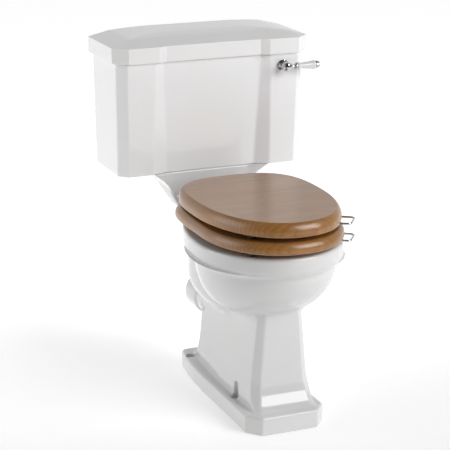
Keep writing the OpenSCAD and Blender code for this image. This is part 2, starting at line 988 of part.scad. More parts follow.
module coupling_plate() {
    color(metal)
        difference() {
            translate([-88, outlet_y - 28, deck_z])
                cube([176, 56, 3]);
            translate([0, outlet_y, deck_z - 1])
                cylinder(h = 5, r = 24.5);
            both_sides(bolt_x)
                translate([0, outlet_y, deck_z - 1])
                    cylinder(h = 5, r = 4.1);
        }
}

module coupling_bolts() {
    color(metal)
        both_sides(bolt_x)
            translate([0, outlet_y, 0]) {
                translate([0, 0, 442])
                    cylinder(h = deck_z + 3 - 442, r = 4);
                translate([0, 0, deck_z + 3])
                    cylinder(h = 1.8, r = 8, $fn = 6);
            }
}

module coupling_washers() {
    color(black)
        both_sides(bolt_x)
            translate([0, outlet_y, 464])
                difference() {
                    cylinder(h = 4, r = 14);
                    translate([0, 0, -1])
                        cylinder(h = 6, r = 4.2);
                }
}

module coupling_wing_nuts() {
    color(gold)
        both_sides(bolt_x)
            translate([0, outlet_y, 0])
                wing_nut(455, 4.05);
}

// ---- fill valve, entering through the right hand side wall ----

pivot_x = 194;
pivot_z = 724;
float_x = 92;
neck_len = 37;
inlet_r = 10.4;
inlet_shoulder = 260;

// Children stand on the plane X = x and point out of the side wall
module along_inlet(x) {
    translate([x, inlet_y, inlet_z])
        rotate([0, 90, 0])
            children();
}

// Children stand on the pivot line of the float arm, d along it from the middle
module along_pivot(d) {
    translate([pivot_x, inlet_y + d, pivot_z])
        rotate([-90, 0, 0])
            children();
}

module fill_valve() {
    color(gold)
        difference() {
            union() {
                along_inlet(186)
                    cylinder(h = 102, r = inlet_r - 0.3);
                along_inlet(186)
                    cylinder(h = inlet_shoulder - 186, r = inlet_r);
                along_inlet(229)
                    cylinder(h = 6, r = 20);
                along_inlet(184)
                    cylinder(h = 36, r = 14);
                for (sy = [-1, 1])
                    translate([pivot_x - 7, inlet_y + sy * 8.5 - 2.5, pivot_z - 7])
                        cube([14, 5, 16]);
                translate([211, inlet_y, 600])
                    cylinder(h = 138, r = 6);
            }
            along_inlet(192)
                cylinder(h = 100, r = 7);
            translate([211, inlet_y, 599])
                cylinder(h = 144, r = 4.5);
            along_pivot(-20)
                cylinder(h = 40, r = 2);
        }
}

module fill_valve_seal() {
    color(black)
        along_inlet(235.1)
            difference() {
                cylinder(h = 2.4, r = 18);
                translate([0, 0, -1])
                    cylinder(h = 5, r = inlet_r + 0.1);
            }
}

module fill_valve_backnut() {
    color(gold)
        along_inlet(249.6)
            difference() {
                cylinder(h = 9, r = 17, $fn = 6);
                translate([0, 0, -1])
                    cylinder(h = 11, r = inlet_r + 0.05);
            }
}

module float_arm() {
    color(gold)
        difference() {
            union() {
                along_pivot(-5)
                    cylinder(h = 10, r = 6);
                between([pivot_x - 3, inlet_y, pivot_z], [float_x + neck_len, inlet_y, pivot_z], 2.5);
            }
            along_pivot(-20)
                cylinder(h = 40, r = 2.06);
        }
}

module float_ball() {
    color(float_orange)
        translate([float_x, inlet_y, pivot_z]) {
            sphere(32);
            rotate([0, 90, 0])
                cylinder(h = neck_len, r = 5);
        }
}

module float_pivot_pin() {
    color(metal)
        along_pivot(-12.5)
            cylinder(h = 25, r = 2);
}

// Which node to draw

pan();
cistern_tank();
cistern_lid();
seat_ring();
seat_cover();
ring_handle();
ring_handle_screws();
cover_handle();
cover_handle_screws();
hinge_pillars();
pillar_pads();
hinge_bar();
bar_end_nuts();
ring_hinge_leaves();
cover_hinge_leaves();
ring_leaf_screws();
cover_leaf_screws();
ring_buffers();
cover_buffers();
hinge_studs();
stud_washers();
stud_wing_nuts();
lever_rose();
lever_backnut();
lever_spindle();
lever_neck();
lever_grip();
lever_end_cap();
lever_arm();
arm_clamp_screw();
link_hook();
siphon_body();
siphon_piston();
siphon_seal();
siphon_backnut();
doughnut_seal();
coupling_plate();
coupling_bolts();
coupling_washers();
coupling_wing_nuts();
fill_valve();
fill_valve_seal();
fill_valve_backnut();
float_arm();
float_ball();
float_pivot_pin();
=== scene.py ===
"""Looks of the close coupled toilet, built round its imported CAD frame. Shapes are in millimetres."""

import math

import bmesh
import bpy
import numpy as np
from mathutils import Euler, Matrix, Vector


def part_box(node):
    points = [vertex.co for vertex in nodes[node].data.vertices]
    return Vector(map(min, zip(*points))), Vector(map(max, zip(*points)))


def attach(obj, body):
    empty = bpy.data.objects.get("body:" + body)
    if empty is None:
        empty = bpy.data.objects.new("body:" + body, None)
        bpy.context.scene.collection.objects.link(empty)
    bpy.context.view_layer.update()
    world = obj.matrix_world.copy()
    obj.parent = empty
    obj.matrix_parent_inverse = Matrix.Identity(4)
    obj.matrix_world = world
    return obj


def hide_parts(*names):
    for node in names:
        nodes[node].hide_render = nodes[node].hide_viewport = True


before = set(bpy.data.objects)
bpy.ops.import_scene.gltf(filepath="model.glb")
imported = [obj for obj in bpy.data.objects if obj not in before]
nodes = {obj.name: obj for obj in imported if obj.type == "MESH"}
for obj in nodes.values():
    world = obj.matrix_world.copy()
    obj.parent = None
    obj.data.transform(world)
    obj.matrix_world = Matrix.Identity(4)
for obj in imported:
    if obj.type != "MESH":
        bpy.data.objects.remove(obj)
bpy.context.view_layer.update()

MM = 0.001


def low_mm(node):
    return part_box(node)[0] / MM


def high_mm(node):
    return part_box(node)[1] / MM


# ---- heights and depths taken from the frame ----
DECK_Z = low_mm("cistern_tank").z
TANK_TOP_Z = high_mm("cistern_tank").z
TANK_BACK = high_mm("cistern_tank").y
LID_HALF_W = high_mm("cistern_lid").x
LID_TOP_Z = high_mm("cistern_lid").z
LID_BACK = high_mm("cistern_lid").y
RING_Z0, RING_Z1 = low_mm("seat_ring").z, high_mm("seat_ring").z
COVER_Z0, COVER_Z1 = low_mm("seat_cover").z, high_mm("seat_cover").z
RIM_Z = low_mm("pillar_pads").z
RIM_HALF_W = high_mm("pan").x

# ---- pan, shared shape values ----
BOWL_CY = -150
BOWL_LOW, PEDESTAL_TOP, TRUNK_LOW = 256, 320, 206
BOWL_HALF_W, BOWL_CURVE_TOP, BOWL_CURVE_LOW = 163, 405, 255
BOWL_LIP, BOWL_LIP_LOW, BOWL_LIP_TOP = 12, 380, 400
BOWL_FRONT_REACH, BOWL_BACK_REACH = 1.117, 1.15  # as shares of the bowl's half width
BOWL_TUCK, BOWL_TUCK_TOP, BOWL_TUCK_LOW = 0.23, 380, 283
FOOT_H, FOOT_EDGE = 46, 7
FOOT_HALF_W, FOOT_BACK_HALF_W = 101.5, 100
FOOT_FRONT, FOOT_BACK = -299, 206
FOOT_TAPER_FROM, FOOT_CORNER_FROM = 26, 198
PEDESTAL_FRONT, PEDESTAL_BACK = -246, 118
FLARE_TOP, FLARE_REACH, FLARE_BACK_REACH, FLARE_SPREAD = 130, 46, 82, 22
COLUMN_HALF_W, COLUMN_LEAN = 70, 0.094
ROOT_HALF_FRONT, ROOT_HALF_BACK, ROOT_FRONT, ROOT_BACK = 78, 67, -40, 160
CORNER_CUT, FLARE_CORNER_CUT, EXTRA_CUT, EXTRA_CUT_TOP = 14, 14, 3, 280
RIM_LOW, RIM_FRONT, RIM_BACK, RIM_EDGE = 402, 201, 300, 6
RIM_ROLL_IN, RIM_ROLL_H = 6, 11
TRUNK_FRONT, TRUNK_BACK_LOW, TRUNK_BACK_TOP, TRUNK_LEAN_FROM = -100, 160, 240, 330
TRUNK_HALF_W, TRUNK_TOP_HALF_W, TRUNK_ROUND_TOP, TRUNK_ROUND_R = 116, 108, 305, 100
TRUNK_SIDE_FROM, TRUNK_TOP = 340, 445
BLEND = 10  # the higher, the tighter the fillets where the pan's parts meet
DECK_LOW, DECK_FRONT, DECK_FRONT_R, DECK_FRONT_LOW = 436, 201, 27, 472
DECK_HALF_LOW, DECK_HALF_TOP = 96, 119
OUTLET_Y, OUTLET_Z = 270, 185
SCREW_X, SCREW_Y, SCREW_R = 76, 150, 4
RECESS_R, RECESS_LOW, RECESS_TOP = 12, 32, 82
BOLT_X, BOLT_R, HAND_HOLE_R, HAND_HOLE_TOP = 70, 5.5, 17, 468
PILLAR_X, HINGE_Y, STUD_R = 77.5, 98, 6
SEAL_SEAT_R, SEAL_SEAT_DEPTH = 40, 30


# ---------------------------------------------------------------- shape functions
def se(u, n):
    """Half width factor of a superellipse at fraction u of its half length."""
    return np.maximum(0, 1 - np.abs(u) ** n) ** (1 / n)


def frac(x, a, b):
    return np.clip((x - a) / (b - a), 0, 1)


def mix(a, b, t):
    return a + (b - a) * t


def egg(y, c, w, lf, lb, nf, nb):
    """Half width of an egg outline: centre c, half width w, reaches lf and lb, fullness nf and nb."""
    front = se(np.minimum(1, np.maximum(0, c - y) / lf), nf)
    back = se(np.minimum(1, np.maximum(0, y - c) / lb), nb)
    return w * np.where(y < c, front, back)


def stations(a, b, m):
    """m + 1 places from a to b, closer together at both ends."""
    return a + (b - a) * (1 - np.cos(np.pi * np.arange(m + 1) / m)) / 2


def rounding(z, top, r):
    """How far an edge of radius r below top has come in at height z."""
    return r - math.sqrt(max(0, r * r - (z - top + r) ** 2)) if z > top - r else 0


def foot_plan(y):
    """Half width of the foot: cut front corners, a slow taper to the back and cut back corners."""
    front_half, corner_slope = 71, 0.83
    taper, back_half = 17, 74
    side = np.where(y < BOWL_CY, np.minimum(FOOT_HALF_W, front_half + (y - FOOT_FRONT) * corner_slope),
                    mix(FOOT_HALF_W, FOOT_BACK_HALF_W, frac(y, BOWL_CY, FOOT_TAPER_FROM)))
    tapered = FOOT_BACK_HALF_W - taper * frac(y, FOOT_TAPER_FROM, FOOT_CORNER_FROM) ** 2
    side = np.where(y > FOOT_TAPER_FROM, tapered, side)
    corner = mix(FOOT_BACK_HALF_W - taper, back_half, frac(y, FOOT_CORNER_FROM, FOOT_BACK))
    return np.where(y > FOOT_CORNER_FROM, corner, side)


def flare(z):
    """Share of the hollow flare left at height z: 1 on the foot, 0 at its top."""
    u = frac(z, FLARE_TOP, FOOT_H)
    return 1 - math.sqrt(max(0, 1 - u * u))


def column_half(z):
    """Half width of the pedestal above the flare, where it narrows on the way up."""
    return COLUMN_HALF_W - (z - FLARE_TOP) * COLUMN_LEAN


def root_half(y):
    """Half width at which the leaning side of the pedestal meets the shelf of the foot."""
    return mix(ROOT_HALF_FRONT, ROOT_HALF_BACK, frac(y, ROOT_FRONT, ROOT_BACK))


def pedestal_side(y, z):
    """Half width of the pedestal before its corners are cut."""
    return mix(column_half(z), root_half(y), frac(z, FLARE_TOP, FOOT_H) ** 1.6)


def pedestal_hw(y, z):
    """Half width of the pedestal, with cut corners that grow down the flare."""
    f = flare(z)
    extra = EXTRA_CUT if z < FLARE_TOP else EXTRA_CUT * (1 - frac(z, FLARE_TOP, EXTRA_CUT_TOP))
    cut = CORNER_CUT + FLARE_CORNER_CUT * f + extra
    front_y, back_y = PEDESTAL_FRONT - FLARE_REACH * f, PEDESTAL_BACK + FLARE_BACK_REACH * f
    side = pedestal_side(y, z)
    front = column_half(z) + f * FLARE_SPREAD - cut
    hw = np.minimum(side, np.minimum(front + (y - front_y), side - cut + (back_y - y)))
    return np.where((y < front_y) | (y > back_y), 0, hw)


def foot_hw(y, z):
    d = rounding(z, FOOT_H, FOOT_EDGE)
    return np.where((y < FOOT_FRONT + d) | (y > FOOT_BACK - d), 0, foot_plan(y) - d)


def bowl_w(z):
    """Half width of the bowl: a full round below, with a small lip out to the rim."""
    return (BOWL_HALF_W * se(frac(z, BOWL_CURVE_TOP, BOWL_CURVE_LOW), 2.6)
            + BOWL_LIP * frac(z, BOWL_LIP_LOW, BOWL_LIP_TOP) ** 3)


def bowl_front_len(z):
    """Reach of the bowl to the front, tucked in towards the pedestal."""
    return bowl_w(z) * BOWL_FRONT_REACH * (1 - BOWL_TUCK * frac(z, BOWL_TUCK_TOP, BOWL_TUCK_LOW) ** 1.4)


def trunk_w(z):
    """Half width of the body between bowl and shelf, round below and slightly tapered above."""
    if z < TRUNK_ROUND_TOP:
        return TRUNK_HALF_W * math.sqrt(max(0, 1 - ((TRUNK_ROUND_TOP - z) / TRUNK_ROUND_R) ** 2))
    return mix(TRUNK_HALF_W, TRUNK_TOP_HALF_W, frac(z, TRUNK_SIDE_FROM, TRUNK_TOP))


def trunk_back(z):
    return mix(TRUNK_BACK_LOW, TRUNK_BACK_TOP, frac(z, TRUNK_LEAN_FROM, TRUNK_TOP) ** 1.3)


def lower_hw(y, z):
    if z <= FOOT_H:
        return foot_hw(y, z)
    return pedestal_hw(y, z) if z < PEDESTAL_TOP else 0 * y


def bowl_hw(y, z):
    if z < BOWL_LOW or z > RIM_LOW:
        return 0 * y
    return egg(y, BOWL_CY, bowl_w(z), bowl_front_len(z), bowl_w(z) * BOWL_BACK_REACH, 2, 2.2)


def trunk_hw(y, z):
    if z < TRUNK_LOW:
        return 0 * y
    front, back = TRUNK_FRONT, trunk_back(z)
    u = np.clip((y - (front + back) / 2) / ((back - front) / 2), -1, 1)
    return np.where((y < front) | (y > back), 0, trunk_w(z) * se(u, 2.2))


def rim_inset(z):
    """How far the rounded lower and upper edges of the rim have come in at height z."""
    return rounding(z, RIM_Z, RIM_EDGE) + RIM_ROLL_IN * frac(z, RIM_LOW + RIM_ROLL_H, RIM_LOW) ** 2


def rim_hw(y, z):
    if z < RIM_LOW:
        return 0 * y
    d = rim_inset(z)
    return egg(y, BOWL_CY, RIM_HALF_W - d, RIM_FRONT - d, RIM_BACK, 2, 2)


def skin_hw(y, z):
    """Half width of the whole pan: its parts blended with a fillet where they meet."""
    total = sum(part(y, z).astype(float) ** BLEND for part in (lower_hw, bowl_hw, trunk_hw, rim_hw))
    return total ** (1 / BLEND)


def skin_front(z):
    if z <= FOOT_H:
        return FOOT_FRONT + rounding(z, FOOT_H, FOOT_EDGE)
    if z > RIM_LOW:
        return BOWL_CY - RIM_FRONT + rim_inset(z)
    return min(PEDESTAL_FRONT - FLARE_REACH * flare(z) if z < PEDESTAL_TOP else 0,
               BOWL_CY - bowl_front_len(z) if z >= BOWL_LOW else 0)


def skin_back(z):
    if z <= FOOT_H:
        return FOOT_BACK - rounding(z, FOOT_H, FOOT_EDGE)
    return max(PEDESTAL_BACK + FLARE_BACK_REACH * flare(z) if z < PEDESTAL_TOP else 0,
               trunk_back(z) if z >= TRUNK_LOW else 0)


# ---------------------------------------------------------------- mesh helpers
def add_object(name, mesh):
    obj = bpy.data.objects.new(name, mesh)
    bpy.context.scene.collection.objects.link(obj)
    return obj


def object_from(name, bm):
    mesh = bpy.data.meshes.new(name)
    bm.to_mesh(mesh)
    bm.free()
    return add_object(name, mesh)


def mirrored(x, y, z):
    """Ring at height z from right hand outline points, closed over the middle."""
    right = np.column_stack([x, y, np.full(len(x), z)])
    left = right[::-1] * [-1, 1, 1]
    return np.vstack([right, left])


def loft(name, rings):
    """Closed solid through rings of equal length, in millimetres."""
    n, m = len(rings[0]), len(rings)
    points = np.vstack(rings) * MM
    faces = [list(range(n - 1, -1, -1)), list(range((m - 1) * n, m * n))]
    for k in range(m - 1):
        for i in range(n):
            j = (i + 1) % n
            faces.append([k * n + i, k * n + j, (k + 1) * n + j, (k + 1) * n + i])
    mesh = bpy.data.meshes.new(name)
    mesh.from_pydata(points.tolist(), [], faces)
    mesh.update()
    return add_object(name, mesh)


def ring_of_egg(shape, z, d, m=80):
    """Egg outline at height z drawn in by d; shape is centre, half width, reaches and fullnesses."""
    c, w, lf, lb, nf, nb = shape
    y = stations(c - lf + d, c + lb - d, m)
    return mirrored(np.maximum(0.2, egg(y, c, w - d, lf - d, lb - d, nf, nb)), y, z)


def rod(name, a, b, r, sides=64):
    """Round bar from a to b, in millimetres."""
    a, b = Vector(a), Vector(b)
    axis = b - a
    bm = bmesh.new()
    bmesh.ops.create_cone(bm, cap_ends=True, segments=sides, radius1=r * MM, radius2=r * MM,
                          depth=axis.length * MM)
    turn = axis.to_track_quat("Z", "Y").to_matrix().to_4x4()
    bmesh.ops.transform(bm, matrix=Matrix.Translation((a + b) / 2 * MM) @ turn, verts=bm.verts)
    return object_from(name, bm)


def upright(name, x, y, z0, z1, r):
    return rod(name, (x, y, z0), (x, y, z1), r)


def ball(name, at, r):
    bm = bmesh.new()
    bmesh.ops.create_uvsphere(bm, u_segments=48, v_segments=24, radius=r * MM)
    bmesh.ops.translate(bm, vec=Vector(at) * MM, verts=bm.verts)
    return object_from(name, bm)


def apply(obj):
    """Replaces the mesh by its evaluated one and drops the modifiers."""
    depsgraph = bpy.context.evaluated_depsgraph_get()
    mesh = bpy.data.meshes.new_from_object(obj.evaluated_get(depsgraph))
    obj.modifiers.clear()
    obj.data = mesh
    return obj


def combine(obj, tools, operation):
    """Boolean of obj with each tool; the tools are used up."""
    for tool in tools:
        mod = obj.modifiers.new("boolean", "BOOLEAN")
        mod.operation = operation
        mod.solver = "MANIFOLD"
        mod.object = tool
        apply(obj)
        bpy.data.objects.remove(tool)
    return obj


def fuse_smooth(obj, voxel, rounds):
    """Even skin over the whole solid with every edge softened, as glaze softens it."""
    mod = obj.modifiers.new("remesh", "REMESH")
    mod.mode = "VOXEL"
    mod.voxel_size = voxel * MM
    mod = obj.modifiers.new("soften", "SMOOTH")
    mod.factor = 0.5
    mod.iterations = rounds
    apply(obj)
    shade_smooth(obj)
    return obj


def shade_smooth(obj, angle=None):
    """Smooth shading; with an angle, edges sharper than that many degrees stay sharp."""
    obj.data.polygons.foreach_set("use_smooth", [True] * len(obj.data.polygons))
    if angle is not None:
        obj.data.set_sharp_from_angle(angle=math.radians(angle))
        mod = obj.modifiers.new("normals", "WEIGHTED_NORMAL")
        mod.keep_sharp = True
        apply(obj)
    return obj


def bevel(obj, radius, angle, segments):
    """Rounds the edges sharper than angle degrees."""
    bm = bmesh.new()
    bm.from_mesh(obj.data)
    edges = [e for e in bm.edges
             if len(e.link_faces) == 2 and math.degrees(e.calc_face_angle(0)) > angle]
    bmesh.ops.bevel(bm, geom=edges, offset=radius * MM, segments=segments, profile=0.5,
                    affect="EDGES", clamp_overlap=True)
    bm.to_mesh(obj.data)
    bm.free()
    return obj


# ---------------------------------------------------------------- materials
def new_material(name):
    mat = bpy.data.materials.new(name)
    mat.use_nodes = True
    tree = mat.node_tree
    return mat, tree, tree.nodes["Principled BSDF"]


def put(tree, kind, **values):
    """New node; each value sets the property of that name or else the input socket of that name."""
    node = tree.nodes.new(kind)
    for key, value in values.items():
        if hasattr(node, key):
            setattr(node, key, value)
        else:
            node.inputs[key.replace("_", " ")].default_value = value
    return node


def noise(tree, source, scale, detail=4.0, rough=0.5, distortion=0.0):
    node = tree.nodes.new("ShaderNodeTexNoise")
    node.inputs["Scale"].default_value = scale
    node.inputs["Detail"].default_value = detail
    node.inputs["Roughness"].default_value = rough
    node.inputs["Distortion"].default_value = distortion
    tree.links.new(source, node.inputs["Vector"])
    return node.outputs["Fac"]


def ramp(tree, source, stops):
    node = tree.nodes.new("ShaderNodeValToRGB")
    elements = node.color_ramp.elements
    while len(elements) < len(stops):
        elements.new(0.5)
    for element, (place, colour) in zip(elements, stops):
        element.position = place
        element.color = (*colour, 1) if len(colour) == 3 else colour
    tree.links.new(source, node.inputs["Fac"])
    return node.outputs["Color"]


def grey(value):
    return (value, value, value)


def stretched(tree, scale):
    """Object coordinates scaled by axis."""
    coords = tree.nodes.new("ShaderNodeTexCoord")
    mapping = tree.nodes.new("ShaderNodeMapping")
    mapping.inputs["Scale"].default_value = scale
    tree.links.new(coords.outputs["Object"], mapping.inputs["Vector"])
    return mapping.outputs["Vector"]


def bump(tree, height, shader, strength, distance):
    node = tree.nodes.new("ShaderNodeBump")
    node.inputs["Strength"].default_value = strength
    node.inputs["Distance"].default_value = distance
    tree.links.new(height, node.inputs["Height"])
    tree.links.new(node.outputs["Normal"], shader.inputs["Normal"])


def multiplied(tree, below, above, amount):
    """Colour below darkened or lightened by colour above, by the given amount."""
    node = put(tree, "ShaderNodeMix", data_type="RGBA", blend_type="MULTIPLY")
    node.inputs["Factor"].default_value = amount
    tree.links.new(below, node.inputs["A"])
    tree.links.new(above, node.inputs["B"])
    return node.outputs["Result"]


def china(name, tint=(0.8, 0.8, 0.795)):
    """White fireclay under a clear glaze: faint colour drift, and the slow waviness of fired glaze."""
    mat, tree, shader = new_material(name)
    place = stretched(tree, (1, 1, 1))
    drift = noise(tree, place, 6.0, 3.0)
    warm = tuple(c * f for c, f in zip(tint, (1.0, 0.995, 0.982)))
    tree.links.new(ramp(tree, drift, [(0.35, warm), (0.65, tint)]), shader.inputs["Base Color"])
    speck = noise(tree, place, 900.0, 2.0)
    tree.links.new(ramp(tree, speck, [(0.4, grey(0.07)), (0.75, grey(0.14))]),
                   shader.inputs["Roughness"])
    shader.inputs["IOR"].default_value = 1.5
    shader.inputs["Coat Weight"].default_value = 0.35
    shader.inputs["Coat Roughness"].default_value = 0.03
    waves = noise(tree, place, 28.0, 2.0, 0.4)
    bump(tree, waves, shader, 0.12, 0.0008)
    return mat


def oak(name, seed):
    """Golden oak under satin lacquer: grain along X, growth bands, rays and open pores."""
    mat, tree, shader = new_material(name)
    shift = put(tree, "ShaderNodeVectorMath", operation="ADD")
    base = stretched(tree, (1, 1, 1))
    tree.links.new(base, shift.inputs[0])
    shift.inputs[1].default_value = (seed, seed * 0.37, seed * 0.71)

    def scaled(scale):
        node = tree.nodes.new("ShaderNodeMapping")
        node.inputs["Scale"].default_value = scale
        tree.links.new(shift.outputs[0], node.inputs["Vector"])
        return node.outputs["Vector"]

    bands = tree.nodes.new("ShaderNodeTexWave")
    bands.wave_type, bands.bands_direction, bands.wave_profile = "BANDS", "Y", "SAW"
    bands.inputs["Scale"].default_value = 34.0
    bands.inputs["Distortion"].default_value = 7.0
    bands.inputs["Detail"].default_value = 4.0
    bands.inputs["Detail Scale"].default_value = 0.7
    tree.links.new(scaled((0.16, 1.0, 1.3)), bands.inputs["Vector"])
    fibre = noise(tree, scaled((9, 260, 260)), 1.0, 6.0, 0.6)
    broad = noise(tree, scaled((2.2, 14, 14)), 1.0, 3.0)
    pores = noise(tree, scaled((38, 900, 900)), 1.0, 2.0, 0.5)

    light, mid, dark = (0.37, 0.172, 0.04), (0.335, 0.148, 0.032), (0.295, 0.127, 0.026)
    colour = ramp(tree, bands.outputs["Fac"], [(0.0, light), (0.5, mid), (0.9, dark), (1.0, light)])
    colour = multiplied(tree, colour, ramp(tree, fibre, [(0.3, grey(0.74)), (0.7, grey(1.1))]), 0.75)
    patches = ramp(tree, broad, [(0.3, (0.78, 0.74, 0.7)), (0.7, (1.12, 1.1, 1.05))])
    colour = multiplied(tree, colour, patches, 0.6)
    pore_mask = ramp(tree, pores, [(0.33, grey(0.3)), (0.42, grey(1.0))])
    colour = multiplied(tree, colour, pore_mask, 0.55)
    tree.links.new(colour, shader.inputs["Base Color"])
    tree.links.new(ramp(tree, fibre, [(0.3, grey(0.42)), (0.7, grey(0.32))]),
                   shader.inputs["Roughness"])
    shader.inputs["Coat Weight"].default_value = 0.6
    shader.inputs["Coat Roughness"].default_value = 0.22
    shader.inputs["Coat IOR"].default_value = 1.5
    bump(tree, pore_mask, shader, 0.18, 0.0004)
    return mat


def metal(name, colour, rough, extra_grain=0.0, streak=(1, 1, 1)):
    """Metal with a fine surface: roughness varies a little and streaks follow the given stretch."""
    mat, tree, shader = new_material(name)
    place = stretched(tree, streak)
    grain = noise(tree, place, 180.0, 3.0)
    dim = tuple(c * 0.93 for c in colour)
    tree.links.new(ramp(tree, grain, [(0.35, dim), (0.65, colour)]), shader.inputs["Base Color"])
    tree.links.new(ramp(tree, grain, [(0.3, grey(rough * 0.75)), (0.7, grey(rough * 1.25))]),
                   shader.inputs["Roughness"])
    shader.inputs["Metallic"].default_value = 1.0
    bump(tree, grain, shader, 0.05 + extra_grain, 0.0002)
    return mat


def moulded(name, colour, rough, texture=600.0, depth=0.15):
    """Moulded plastic or rubber with a fine surface grain."""
    mat, tree, shader = new_material(name)
    place = stretched(tree, (1, 1, 1))
    grain = noise(tree, place, texture, 3.0)
    broad = noise(tree, place, 14.0, 2.0)
    low = tuple(c * 0.88 for c in colour)
    tree.links.new(ramp(tree, broad, [(0.3, low), (0.7, colour)]), shader.inputs["Base Color"])
    tree.links.new(ramp(tree, grain, [(0.3, grey(rough * 0.8)), (0.7, grey(min(1.0, rough * 1.2)))]),
                   shader.inputs["Roughness"])
    bump(tree, grain, shader, depth, 0.0003)
    return mat


# ---------------------------------------------------------------- pan
DECK_BACK_LOW, DECK_BACK_TOP, DECK_BACK_FULL = 238, 372, 498
DECK_FRONT_CORNER, DECK_BACK_CORNER = 9, 22
WING_LOW, WING_SPREAD, WING_LEAD = 474, 38, 13.5
WING_BACK, WING_OVERLAP = 335, 15


def deck_half(z):
    """Half width of the shelf that carries the cistern."""
    return mix(DECK_HALF_LOW, DECK_HALF_TOP, frac(z, DECK_LOW, DECK_Z) ** 0.9)


def deck_rings():
    """The shelf behind the bowl: its underside leans back and its front edge rolls under."""
    rings = []
    levels = [np.linspace(DECK_LOW, DECK_FRONT_LOW, 12),
              np.linspace(DECK_FRONT_LOW + 4, DECK_Z - 3, 14), [DECK_Z]]
    for z in np.concatenate(levels):
        drop = max(0, DECK_FRONT_LOW - z)
        front = DECK_FRONT - DECK_FRONT_R + math.sqrt(max(0, DECK_FRONT_R ** 2 - drop ** 2))
        back = mix(DECK_BACK_LOW, DECK_BACK_TOP, frac(z, DECK_LOW, DECK_BACK_FULL) ** 0.9)
        y = stations(front, back, 40)
        ahead = np.array([rounding(v, 0, DECK_FRONT_CORNER) for v in front - y])
        behind = np.array([rounding(v, 0, DECK_BACK_CORNER) for v in y - back])
        rings.append(mirrored(deck_half(z) - ahead - behind, y, z))
    return rings


def deck_wings():
    """Shoulders that spread from the sides of the shelf out to the front corners of the tank."""
    made = []
    for side in (-1, 1):
        rings = []
        for z in np.linspace(WING_LOW, DECK_Z, 17):
            t = frac(z, WING_LOW, DECK_Z) ** 1.7
            out, front = deck_half(z) + WING_SPREAD * t, DECK_FRONT - WING_LEAD * t
            inner = deck_half(z) - WING_OVERLAP
            ring = [(out, front), (out, WING_BACK), (inner, WING_BACK), (inner, DECK_FRONT)]
            rings.append(np.array([(side * x, y, z) for x, y in (ring if side > 0 else ring[::-1])]))
        made.append(loft("wing", rings))
    return made


def skin_rings():
    """Outline rings of the pan, close together where its side turns quickly."""
    foot_edge, rim_edge = FOOT_H - FOOT_EDGE, RIM_Z - RIM_EDGE
    edges = [foot_edge, FOOT_H, FLARE_TOP, TRUNK_LOW, BOWL_LOW, PEDESTAL_TOP, RIM_LOW]
    levels = [0.0]
    for a, b, step in [(0, foot_edge, 13), (foot_edge, FOOT_H, 1), (FOOT_H, 60, 1.5),
                       (60, FLARE_TOP, 5), (FLARE_TOP, TRUNK_LOW, 19), (TRUNK_LOW, BOWL_LOW, 3),
                       (BOWL_LOW, PEDESTAL_TOP, 2), (PEDESTAL_TOP, 380, 4), (380, RIM_LOW, 1.5),
                       (RIM_LOW, 414, 1), (414, rim_edge, 6), (rim_edge, RIM_Z, 0.75)]:
        levels += list(np.linspace(a, b, max(2, round((b - a) / step) + 1))[1:])
    rings = []
    for z in sorted(set(levels + [edge + 0.05 for edge in edges])):
        y = stations(skin_front(z) + 0.05, skin_back(z) - 0.05, 150)
        rings.append(mirrored(np.maximum(0.4, skin_hw(y, z)), y, z))
    return rings


# Inside of the bowl from the rim down: height, half width, centre, reach to front and to back.
BOWL_LEVELS = [(RIM_Z + 1, 124, -145, 155, 150), (424, 124, -145, 155, 150), (414, 142, -145, 172, 160),
               (390, 146, -145, 176, 160), (360, 138, -143, 170, 150), (330, 124, -138, 152, 140),
               (300, 104, -130, 120, 128), (272, 76, -118, 100, 110), (246, 46, -100, 92, 95),
               (218, 41, -70, 84, 72), (196, 38, -42, 62, 52), (178, 30, -24, 38, 34)]
TRAP = [(0, -20, 205), (0, 48, 262), (0, 98, 252), (0, 130, 208), (0, 158, OUTLET_Z), (0, 262, OUTLET_Z)]
TRAP_R, TRAP_OUTER_R = 38, 46
FLUSH_WAY = [(0, OUTLET_Y, 500), (0, 240, 470), (0, 208, 434), (0, 150, 414), (0, -20, 408)]
FLUSH_WAY_R = 15
SPIGOT_R, SPIGOT_Y, SPIGOT_END = 50, 190, 258
GLAZE_VOXEL, GLAZE_ROUNDS = 2.0, 16


def eased(levels, count):
    """The levels turned bottom first, with count even steps between each two."""
    rows = np.array(levels, float)[::-1]
    places = np.arange(len(rows))
    fine = np.linspace(0, len(rows) - 1, (len(rows) - 1) * count + 1)
    return np.column_stack([np.interp(fine, places, rows[:, k]) for k in range(rows.shape[1])])


def tube(points, r):
    """Bars of radius r through the points, with a ball at each bend."""
    parts = [rod("tube", points[i], points[i + 1], r) for i in range(len(points) - 1)]
    return parts + [ball("elbow", p, r * 1.02) for p in points[1:-1]]


def pan_glazed():
    skin = loft("pan_glazed", skin_rings())
    combine(skin, [loft("deck", deck_rings())] + deck_wings(), "UNION")
    elbow = [TRAP[2], TRAP[3], TRAP[4], (0, SPIGOT_Y + 10, OUTLET_Z)]
    spigot = rod("spigot", (0, SPIGOT_Y, OUTLET_Z), (0, SPIGOT_END, OUTLET_Z), SPIGOT_R, sides=96)
    combine(skin, tube(elbow, TRAP_OUTER_R) + [spigot], "UNION")
    bowl = loft("bowl", [ring_of_egg((c, w, lf, lb, 2.05, 2.2), z, 0, 60)
                         for z, w, c, lf, lb in eased(BOWL_LEVELS, 4)])
    combine(skin, [bowl] + tube(TRAP, TRAP_R) + tube(FLUSH_WAY, FLUSH_WAY_R), "DIFFERENCE")
    combine(skin, foot_hollow() + rear_hollows() + fixing_holes(), "DIFFERENCE")
    return fuse_smooth(skin, GLAZE_VOXEL, GLAZE_ROUNDS)


